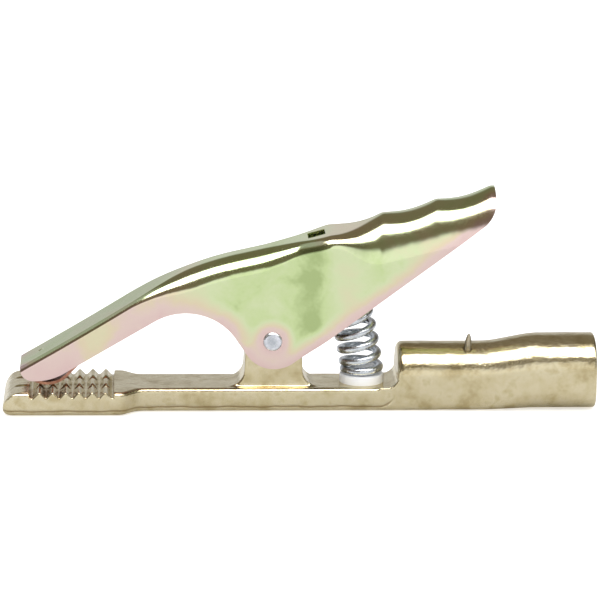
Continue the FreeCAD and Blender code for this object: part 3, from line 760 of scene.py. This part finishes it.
def handle_stamping(material):
    """The pressed lever: outer skin, given the sheet's thickness and broken edges."""
    points, faces, to_edge = lever_surface()
    thickness = film_thickness(points, to_edge)
    dent = hump(points[:, 0], DIMPLE_X, DIMPLE_R) * hump(points[:, 1], 0.0, DIMPLE_R)
    points[:, 2] -= DIMPLE_DEPTH * dent
    lever = make_piece("handle_stamping_skin", points, faces, material)
    film = lever.data.attributes.new("film", "FLOAT", "POINT")
    film.data.foreach_set("value", thickness.astype(np.float32))
    loose = bmesh.new()
    loose.from_mesh(lever.data)
    bmesh.ops.delete(loose, geom=[v for v in loose.verts if not v.link_faces], context="VERTS")
    bmesh.ops.recalc_face_normals(loose, faces=loose.faces)
    loose.to_mesh(lever.data)
    loose.free()
    if sum(face.normal.z for face in lever.data.polygons) < 0.0:
        lever.data.flip_normals()
    add_modifier(lever, "SOLIDIFY", thickness=SHEET * MM, offset=-1.0, use_even_offset=True)
    break_edges(lever, SHEET_EDGE_BREAK, 4)
    apply_modifiers(lever)
    join_tab(lever, material)
    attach(lever, "upper_lever")
    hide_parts("handle_stamping")
    return lever


# ---------------------------------------------------------------- casting

def crease_height(x):
    """Height of the mould's parting crease along the casting's sides; it curls up at the socket."""
    wander = sum(height * np.sin(x / length + phase) for height, length, phase in CREASE_WAVES)
    start, end = CREASE_CURL_X
    curl = np.clip((x - start) / (end - start), 0.0, 1.0)
    return CREASE_Z + wander + CREASE_CURL_RISE * (1.0 - np.sqrt(1.0 - curl ** 2))


def casting_skin(material):
    """The CAD casting with its edges softened and its skin roughened as a sand casting's are."""
    source = frame["nodes"]["lower_arm_casting"]
    casting = bpy.data.objects.new("lower_arm_cast_skin", source.data.copy())
    bpy.context.scene.collection.objects.link(casting)
    add_modifier(casting, "REMESH", mode="VOXEL", voxel_size=SKIN_VOXEL * MM, adaptivity=0.0)
    add_modifier(casting, "SMOOTH", factor=0.5, iterations=SKIN_SMOOTHING)
    apply_modifiers(casting)
    mesh = casting.data
    count = len(mesh.vertices)
    points = np.zeros(count * 3)
    normals = np.zeros(count * 3)
    mesh.vertices.foreach_get("co", points)
    mesh.vertex_normals.foreach_get("vector", normals)
    points = points.reshape(-1, 3) / MM
    normals = normals.reshape(-1, 3)
    waves = np.array([noise.noise(Vector(point) / SKIN_WAVE_L) for point in points])
    crease = hump(points[:, 2], crease_height(points[:, 0]), CREASE_HALF_W)
    crease *= rise(np.abs(normals[:, 1]), *CREASE_SIDEWAYS)
    crease *= 1.0 - rise(points[:, 0], *CREASE_FADE_X)
    lift = SKIN_WAVE_H * waves - CREASE_DEPTH * crease
    points += normals * lift[:, None]
    # Strength of the painted shade along the crease, read by the brass material.
    crease_shade = mesh.attributes.new("crease_shade", "FLOAT", "POINT")
    crease_shade.data.foreach_set("value", crease.astype(np.float32))
    mesh.vertices.foreach_set("co", (points * MM).ravel())
    mesh.update()
    mesh.materials.clear()
    mesh.materials.append(material)
    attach(casting, "lower_arm")
    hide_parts("lower_arm_casting")
    return casting


# ---------------------------------------------------------------- spring

def spring_axis(t):
    """Point of the spring's axis in x and z and the coil's direction there, t from 0 at the seat to 1."""
    foot = np.array(((SEAT_LOW[0] + SEAT_HIGH[0]) / 2.0, SPRING_FOOT_Z + WIRE_R))
    top = np.array(SPRING_TOP)
    length = np.linalg.norm(top - foot)
    up = np.array((0.0, length))
    lean = np.array((-math.sin(SPRING_LEAN), math.cos(SPRING_LEAN))) * length
    point = (foot * (2 * t ** 3 - 3 * t ** 2 + 1) + up * (t ** 3 - 2 * t ** 2 + t)
             + top * (3 * t ** 2 - 2 * t ** 3) + lean * (t ** 3 - t ** 2))
    point = point - np.array((SPRING_BOW * (t ** 3 - 2 * t ** 2 + t), 0.0))
    slope = (foot * (6 * t ** 2 - 6 * t) + up * (3 * t ** 2 - 4 * t + 1)
             + top * (6 * t - 6 * t ** 2) + lean * (3 * t ** 2 - 2 * t))
    return point, slope / np.linalg.norm(slope)


def coil_height(turn):
    """Share of the axis climbed after this many turns: close-wound at both ends."""
    closed_rise = 2.0 * WIRE_R * CLOSED_TURNS / (SPRING_TOP[1] - SPRING_FOOT_Z - WIRE_R)
    if turn < CLOSED_TURNS:
        return closed_rise * (turn / CLOSED_TURNS) ** 2
    if turn > SPRING_TURNS - CLOSED_TURNS:
        return 1.0 - closed_rise * ((SPRING_TURNS - turn) / CLOSED_TURNS) ** 2
    open_part = (turn - CLOSED_TURNS) / (SPRING_TURNS - 2.0 * CLOSED_TURNS)
    return closed_rise + (1.0 - 2.0 * closed_rise) * open_part


def tube(path, radius, sides):
    """Closed round bar along a path of points: its points and faces."""
    path = np.asarray(path)
    heading = np.gradient(path, axis=0)
    heading /= np.linalg.norm(heading, axis=1)[:, None]
    out = np.cross(heading, np.array((0.3, 0.1, 1.0)))
    out /= np.linalg.norm(out, axis=1)[:, None]
    side = np.cross(heading, out)
    angles = np.linspace(0.0, 2.0 * math.pi, sides, endpoint=False)
    ring = out[:, None, :] * np.cos(angles)[None, :, None]
    ring = ring + side[:, None, :] * np.sin(angles)[None, :, None]
    points = (path[:, None, :] + radius * ring).reshape(-1, 3)
    faces = []
    for i in range(len(path) - 1):
        for k in range(sides):
            a, b = i * sides + k, i * sides + (k + 1) % sides
            faces.append((a, b, b + sides, a + sides))
    last = (len(path) - 1) * sides
    faces.append(tuple(range(sides))[::-1])
    faces.append(tuple(last + k for k in range(sides)))
    return points, faces


def return_spring(material):
    """Right-hand coil of round wire, bending between arm and lever."""
    path = []
    for i in range(int(SPRING_TURNS * POINTS_PER_TURN) + 1):
        turn = i / POINTS_PER_TURN
        centre, along = spring_axis(coil_height(turn))
        angle = math.pi + 2.0 * math.pi * turn
        reach = COIL_R * math.cos(angle)
        path.append((centre[0] + along[1] * reach, COIL_R * math.sin(angle), centre[1] - along[0] * reach))
    points, faces = tube(path, WIRE_R, WIRE_SIDES)
    spring = make_piece("return_spring_wire", points, faces, material)
    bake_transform(spring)
    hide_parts("return_spring")
    return spring


# ---------------------------------------------------------------- laminated strap

def shunt_strap(material):
    """Thin copper leaves that part a little where the strap loops over the lug."""
    middle = rounded_polyline(STRAP_PATH, 2.0)
    heading = np.gradient(middle, axis=0)
    heading /= np.linalg.norm(heading, axis=1)[:, None]
    aside = np.stack([-heading[:, 1], heading[:, 0]], axis=1)
    run = np.concatenate([[0.0], np.cumsum(np.linalg.norm(np.diff(middle, axis=0), axis=1))])
    start, end = LOOP_SHARE
    loose = np.sin(math.pi * np.clip((run / run[-1] - start) / (end - start), 0.0, 1.0)) ** 2
    leaf_t = STRAP_T / STRAP_LEAVES
    half_w = STRAP_HIGH[1]
    points, faces = [], []
    for leaf in range(STRAP_LEAVES):
        level = (leaf - (STRAP_LEAVES - 1) / 2.0) * leaf_t * (1.0 + LOOP_SPREAD * loose)
        low = middle + aside * (level - leaf_t * LEAF_FILL / 2.0)[:, None]
        high = middle + aside * (level + leaf_t * LEAF_FILL / 2.0)[:, None]
        leaf_points, leaf_faces = bar_of_rings([flat_ring(a, b, half_w) for a, b in zip(low, high)])
        faces += [tuple(len(points) + k for k in face) for face in leaf_faces]
        points += leaf_points
    strap = make_piece("shunt_strap_leaves", points, faces, material)
    strap.data.shade_flat()
    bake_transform(strap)
    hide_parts("shunt_strap")
    return strap


# ---------------------------------------------------------------- light, floor and camera

def studio_light():
    """White room: an overhead softbox with dark gaps beside it, as bright metal mirrors it."""
    world = bpy.data.worlds.new("studio")
    bpy.context.scene.world = world
    world.use_nodes = True
    tree = world.node_tree
    background = tree.nodes["Background"]
    direction = add_node(tree, "TexCoord").outputs["Generated"]
    parts = add_node(tree, "SeparateXYZ", {"Vector": direction})
    x, y, z = parts.outputs["X"], parts.outputs["Y"], parts.outputs["Z"]
    turn = calc(tree, "ARCTAN2", z, calc(tree, "MULTIPLY", y, -1.0))

    up = calc(tree, "MAXIMUM", z, 0.02)
    across = calc(tree, "DIVIDE", x, up)
    away = calc(tree, "DIVIDE", y, up)
    back_edge = calc(tree, "MULTIPLY_ADD", across, BOX_BACK[1], BOX_BACK[0])
    left_only = calc(tree, "MINIMUM", across, 0.0)
    front_edge = calc(tree, "MULTIPLY_ADD", left_only, BOX_FRONT[1], BOX_FRONT[0])
    inside_back = remap(tree, calc(tree, "SUBTRACT", back_edge, away), -BOX_BLUR, BOX_BLUR)
    inside_front = remap(tree, calc(tree, "SUBTRACT", away, front_edge), -BOX_BLUR, BOX_BLUR)
    box = calc(tree, "MULTIPLY", inside_back, inside_front)
    box = calc(tree, "MULTIPLY", box, remap(tree, across, *BOX_LEFT))

    past_edge = calc(tree, "SUBTRACT", turn, remap(tree, x, *GAP_START_X, *GAP_START))
    front = remap(tree, past_edge, 0.0, GAP_BLUR, FRONT_GLOW, GAP_GLOW)
    front = calc(tree, "MULTIPLY", front, remap(tree, x, *LEFT_DIM_X, LEFT_DIM, 1.0))
    rear = remap(tree, turn, *REAR_TURN, 0.0, REAR_GLOW)
    rear = calc(tree, "MULTIPLY", rear, remap(tree, turn, *FAR_TURN, 1.0, FAR_DIM))
    over_jaw = remap(tree, x, *JAW_GLOW_X, JAW_GLOW, 0.0)
    over_jaw = calc(tree, "MULTIPLY", over_jaw, remap(tree, turn, *JAW_GLOW_TURN))
    room = calc(tree, "MAXIMUM", calc(tree, "MAXIMUM", front, rear), over_jaw)

    mirrored = calc(tree, "ADD", room, calc(tree, "MULTIPLY", box, BOX_GLOW))
    mirrored = calc(tree, "MULTIPLY", mirrored, remap(tree, x, *RIGHT_DIM_X, 1.0, RIGHT_DIM))
    rays = add_node(tree, "LightPath")
    level = add_node(tree, "Mix", {0: rays.outputs["Is Glossy Ray"], 2: ROOM_GLOW, 3: mirrored}).outputs[0]
    level = add_node(tree, "Mix", {0: rays.outputs["Is Camera Ray"], 2: level, 3: 1.0}).outputs[0]
    tree.links.new(level, background.inputs["Strength"])
    tint = mix_colour(tree, remap(tree, level, GAP_GLOW, 2.0 * GAP_GLOW), GAP_TINT, WHITE)
    tree.links.new(tint, background.inputs["Color"])


def pale_stage():
    """Wide plain floor under the clamp."""
    w = FLOOR_HALF_W
    z = cad_low.z / MM - FLOOR_DROP
    points = [(-w, -w, z), (w, -w, z), (w, w, z), (-w, w, z)]
    floor = make_piece("floor", points, [(0, 1, 2, 3)], pale_floor())


def camera():
    """Long lens, slightly above the bench, looking along the hinge."""
    sin_a, cos_a = math.sin(VIEW_AZIMUTH), math.cos(VIEW_AZIMUTH)
    sin_e, cos_e = math.sin(VIEW_ELEVATION), math.cos(VIEW_ELEVATION)
    back = Vector((sin_a * cos_e, -cos_a * cos_e, sin_e))
    right = Vector((cos_a, sin_a, 0.0))
    up = back.cross(right)
    sin_r, cos_r = math.sin(VIEW_ROLL), math.cos(VIEW_ROLL)
    across = right * cos_r + up * sin_r
    upward = up * cos_r - right * sin_r
    data = bpy.data.cameras.new("camera")
    data.lens = VIEW_LENS
    data.sensor_width = VIEW_SENSOR
    data.clip_start, data.clip_end = 0.01, 50.0
    eye = bpy.data.objects.new("camera", data)
    place = Matrix((across, upward, back)).transposed().to_4x4()
    place.translation = VIEW_TARGET + back * VIEW_DISTANCE
    eye.matrix_world = place
    bpy.context.scene.collection.objects.link(eye)
    bpy.context.scene.camera = eye


# ---------------------------------------------------------------- the scene

def paint(node, material):
    """Gives a CAD node that stays visible its material."""
    piece = frame["nodes"][node]
    piece.data.materials.clear()
    piece.data.materials.append(material)


bpy.context.scene.view_settings.view_transform = "Standard"
studio_light()
pale_stage()
camera()

casting_skin(cast_brass())
handle_stamping(yellow_chromate())
return_spring(bright_zinc("zinc_wire", srgb(226, 232, 238), 0.28, 0.5))
shoe_copper = copper("shoe_copper", srgb(196, 146, 124), srgb(146, 98, 80))
shunt_strap(copper("shunt_copper", srgb(224, 160, 130), srgb(180, 108, 82)))
paint("contact_shoe", shoe_copper)
paint("shunt_rivet", shoe_copper)
paint("spring_seat", white_nylon())
paint("cable_drive_pin", pin_metal())
fastener = bright_zinc("zinc_fastener", srgb(214, 217, 222), 0.24, 0.3)
paint("shunt_screw", fastener)
paint("shunt_washer", fastener)
paint("pivot_rivet", bright_zinc("zinc_rivet", srgb(232, 234, 242), 0.26, 0.6))
